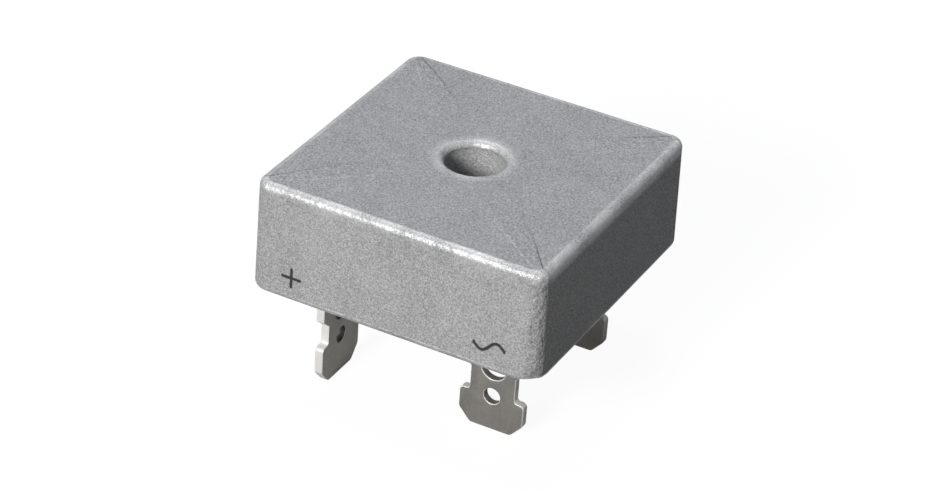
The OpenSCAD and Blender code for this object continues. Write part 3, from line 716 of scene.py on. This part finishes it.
def buildCollarTree(material, places):
    sockets = [(title, "NodeSocketFloat", number) for title, number in collarShape.items()]
    made = [("Geometry", "NodeSocketGeometry")]
    tree, given, result = newTree("resinCollars", "GeometryNodeTree", sockets, made)
    index = addNode(tree, "GeometryNodeInputIndex").outputs[0]

    def point(x=0.0, y=0.0, z=0.0):
        return addNode(tree, "ShaderNodeCombineXYZ", {"X": x, "Y": y, "Z": z}).outputs[0]

    def chosen(dataType, number, items):
        switch = addNode(tree, "GeometryNodeIndexSwitch", {"Index": number}, data_type=dataType)
        while len(switch.index_switch_items) < len(items):
            switch.index_switch_items.new()
        for count, item in enumerate(items):
            plug(tree, switch.inputs[count + 1], item)
        return switch.outputs[0]

    climb, sunk, arcSteps = given["Climb"], given["Sunk"], 9
    spots = chosen("VECTOR", index, [point(x, y, given["Resin Height"]) for x, y, turn in places])
    turns = chosen("FLOAT", index, [turn for x, y, turn in places])
    points = addNode(tree, "GeometryNodeMeshLine", {"Count": len(places)}).outputs[0]
    points = addNode(tree, "GeometryNodeSetPosition", {"Geometry": points, "Position": spots}).outputs[0]
    # hollow quarter round from the resin to the strip, closed by a corner that both hide
    turn = calc(tree, "DIVIDE", calc(tree, "MINIMUM", index, arcSteps), arcSteps)
    turn = calc(tree, "MULTIPLY", calc(tree, "ADD", turn, 1.0), math.pi / 2)
    hollow = point(calc(tree, "MULTIPLY", climb, calc(tree, "ADD", calc(tree, "COSINE", turn), 1.0)),
        calc(tree, "MULTIPLY", climb, calc(tree, "SUBTRACT", calc(tree, "SINE", turn), 1.0)))
    hidden = calc(tree, "MULTIPLY", sunk, -1.0)
    foot = calc(tree, "MULTIPLY", climb, -1.0)
    corners = [hollow, point(hidden, foot), point(hidden, sunk), point(climb, sunk)]
    corner = chosen("VECTOR", calc(tree, "MAXIMUM", calc(tree, "SUBTRACT", index, arcSteps), 0.0), corners)
    profile = addNode(tree, "GeometryNodeMeshLine", {"Count": arcSteps + 4}).outputs[0]
    profile = addNode(tree, "GeometryNodeSetPosition", {"Geometry": profile, "Position": corner}).outputs[0]
    profile = addNode(tree, "GeometryNodeMeshToCurve", {"Mesh": profile}).outputs[0]
    profile = addNode(tree, "GeometryNodeSetSplineCyclic", {"Geometry": profile, "Cyclic": True}).outputs[0]
    outline = addNode(tree, "GeometryNodeCurvePrimitiveQuadrilateral",
        {"Width": given["Strip Width"], "Height": given["Strip Thickness"]}).outputs[0]
    outline = addNode(tree, "GeometryNodeFilletCurve",
        {"Curve": outline, "Count": 8, "Radius": given["Corner"]}, mode="POLY").outputs[0]
    outline = addNode(tree, "GeometryNodeSubdivideCurve", {"Curve": outline, "Cuts": 2}).outputs[0]
    ring = addNode(tree, "GeometryNodeCurveToMesh", {"Curve": outline, "Profile Curve": profile}).outputs[0]
    placed = addNode(tree, "GeometryNodeInstanceOnPoints", {"Points": points, "Instance": ring,
        "Rotation": point(z=turns)}).outputs[0]
    placed = addNode(tree, "GeometryNodeRealizeInstances", {"Geometry": placed}).outputs[0]
    here = addNode(tree, "GeometryNodeInputPosition").outputs[0]
    noise = addNode(tree, "ShaderNodeTexNoise", {"Vector": here, "W": given["Seed"],
        "Scale": calc(tree, "DIVIDE", 1.0, given["Uneven Size"]), "Detail": 1.0}, noise_dimensions="4D").outputs["Fac"]
    sag = calc(tree, "MULTIPLY", calc(tree, "SUBTRACT", noise, 0.5), given["Unevenness"])
    low = addNode(tree, "ShaderNodeSeparateXYZ", {"Vector": here}).outputs["Z"]
    foot = calc(tree, "SUBTRACT", given["Resin Height"], climb)
    share = blendBetween(tree, low, foot, given["Resin Height"], 1.0, 0.0)
    placed = addNode(tree, "GeometryNodeSetPosition", {"Geometry": placed,
        "Offset": point(z=calc(tree, "MULTIPLY", sag, share))}).outputs[0]
    placed = addNode(tree, "GeometryNodeSetShadeSmooth", {"Geometry": placed, "Shade Smooth": True}).outputs[0]
    placed = addNode(tree, "GeometryNodeSetMaterial", {"Geometry": placed, "Material": material}).outputs[0]
    tree.links.new(placed, result["Geometry"])
    return tree


def collarPlaces():
    places = []
    for name in bladeNames:
        middle, facing = shaftOf(name)
        places.append((middle.x, middle.y, math.pi / 2 * facing.x))
    return places


collars = bakeTree("resinCollars", buildCollarTree(finishes["potting"], collarPlaces()), collarShape)
faceOutwards(collars.data)
collars.data.set_sharp_from_angle(angle=math.radians(50))
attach(collars, "root")
print("stage: resin collars built,", len(collars.data.polygons), "faces")


# light, floor and camera

stageLook = {
    "floorGlow": 0.94, "floorTint": 0.1, "floorMirror": 0.75, "mirrorGlow": 0.1, "floorBounce": 0.12,
    "floorReach": 3, "skyDiffuse": 0.04, "lampAim": (0.0, 0.0, 0.015),
    "keyPower": 7.9, "keySize": 0.3, "keyFrom": (-0.07, -0.81, 0.45), "keyTint": (1.0, 0.995, 0.98),
    "topPower": 2.0, "topSize": 0.5, "topFrom": (-0.2, 0.2, 0.75), "topTint": (0.86, 0.9, 1.0),
}


def addLamp(name, power, size, tint, where, aim):
    lamp = bpy.data.lights.new(name, "AREA")
    lamp.shape, lamp.size, lamp.energy, lamp.color = "DISK", size, power, tint
    holder = bpy.data.objects.new(name, lamp)
    bpy.context.collection.objects.link(holder)
    holder.location = Vector(where)
    holder.rotation_euler = (Vector(aim) - Vector(where)).to_track_quat("-Z", "Y").to_euler()


def buildStage():
    look = stageLook
    world = bpy.data.worlds.new("studio")
    bpy.context.scene.world = world
    world.use_nodes = True
    tree = world.node_tree
    tree.nodes.clear()
    backdrop = addNode(tree, "ShaderNodeBackground", {"Color": (1, 1, 1, 1), "Strength": 1.0})
    glow = addNode(tree, "ShaderNodeBackground", {"Color": (1, 1, 1, 1), "Strength": look["skyDiffuse"]})
    path = tree.nodes.new("ShaderNodeLightPath").outputs
    direct = calc(tree, "MAXIMUM", path["Is Glossy Ray"], path["Is Transmission Ray"])
    direct = calc(tree, "MAXIMUM", path["Is Camera Ray"], direct)
    mix = addNode(tree, "ShaderNodeMixShader", {0: direct, 1: glow.outputs[0], 2: backdrop.outputs[0]})
    tree.links.new(mix.outputs[0], tree.nodes.new("ShaderNodeOutputWorld").inputs[0])
    mesh = bpy.data.meshes.new("studioFloor")
    reach = look["floorReach"]
    mesh.from_pydata([(-reach, -reach, 0), (reach, -reach, 0), (reach, reach, 0), (-reach, reach, 0)],
        [], [(0, 1, 2, 3)])
    floor = bpy.data.objects.new("studioFloor", mesh)
    bpy.context.collection.objects.link(floor)
    paper = bpy.data.materials.new("studioPaper")
    paper.use_nodes = True
    tree = paper.node_tree
    tree.nodes.clear()
    # white with a faint shadow to the eye, lit paper in reflections, darker paper for bounced light
    shine = addNode(tree, "ShaderNodeEmission", {"Color": (1, 1, 1, 1), "Strength": look["floorGlow"]})
    shades = [addNode(tree, "ShaderNodeBsdfDiffuse", {"Color": (look[key],) * 3 + (1,)}).outputs[0]
        for key in ("floorTint", "floorMirror", "floorBounce")]
    seen = addNode(tree, "ShaderNodeAddShader", {0: shine.outputs[0], 1: shades[0]}).outputs[0]
    path = tree.nodes.new("ShaderNodeLightPath").outputs
    mirrored = calc(tree, "MAXIMUM", path["Is Glossy Ray"], path["Is Transmission Ray"])
    faint = addNode(tree, "ShaderNodeEmission", {"Color": (1, 1, 1, 1), "Strength": look["mirrorGlow"]})
    lit = addNode(tree, "ShaderNodeAddShader", {0: faint.outputs[0], 1: shades[1]}).outputs[0]
    mix = addNode(tree, "ShaderNodeMixShader", {0: mirrored, 1: shades[2], 2: lit}).outputs[0]
    mix = addNode(tree, "ShaderNodeMixShader", {0: path["Is Camera Ray"], 1: mix, 2: seen})
    tree.links.new(mix.outputs[0], tree.nodes.new("ShaderNodeOutputMaterial").inputs[0])
    mesh.materials.append(paper)
    for lamp in ("key", "top"):
        power, size, tint, where = (look[lamp + part] for part in ("Power", "Size", "Tint", "From"))
        addLamp(lamp + "Lamp", power, size, tint, where, look["lampAim"])


cameraPlace = {"azimuth": 26.388, "elevation": 31.889, "roll": 4.024, "distance": 0.2775,
    "aimHeight": 0.0157, "shiftRight": -0.000138, "shiftUp": -0.003071, "lens": 119.9,
    "sensor": 36.0, "clipStart": 0.01, "clipEnd": 20.0}


def buildCamera():
    look = cameraPlace
    azimuth, elevation, roll = (math.radians(look[key]) for key in ("azimuth", "elevation", "roll"))
    flat = math.cos(elevation)
    back = Vector((math.sin(azimuth) * flat, -math.cos(azimuth) * flat, math.sin(elevation)))
    level = (-back).cross(Vector((0, 0, 1))).normalized()
    upright = back.cross(level)
    right = level * math.cos(roll) + upright * math.sin(roll)
    up = upright * math.cos(roll) - level * math.sin(roll)
    aim = Vector((0, 0, look["aimHeight"])) + right * look["shiftRight"] + up * look["shiftUp"]
    camera = bpy.data.objects.new("viewCamera", bpy.data.cameras.new("viewCamera"))
    bpy.context.collection.objects.link(camera)
    camera.data.lens, camera.data.sensor_width = look["lens"], look["sensor"]
    camera.data.clip_start, camera.data.clip_end = look["clipStart"], look["clipEnd"]
    turn = Matrix((right, up, back)).transposed().to_4x4()
    camera.matrix_world = Matrix.Translation(aim + back * look["distance"]) @ turn
    bpy.context.scene.camera = camera


buildStage()
buildCamera()
bpy.context.scene.view_settings.view_transform = "Standard"
print("stage: light, floor and camera placed")
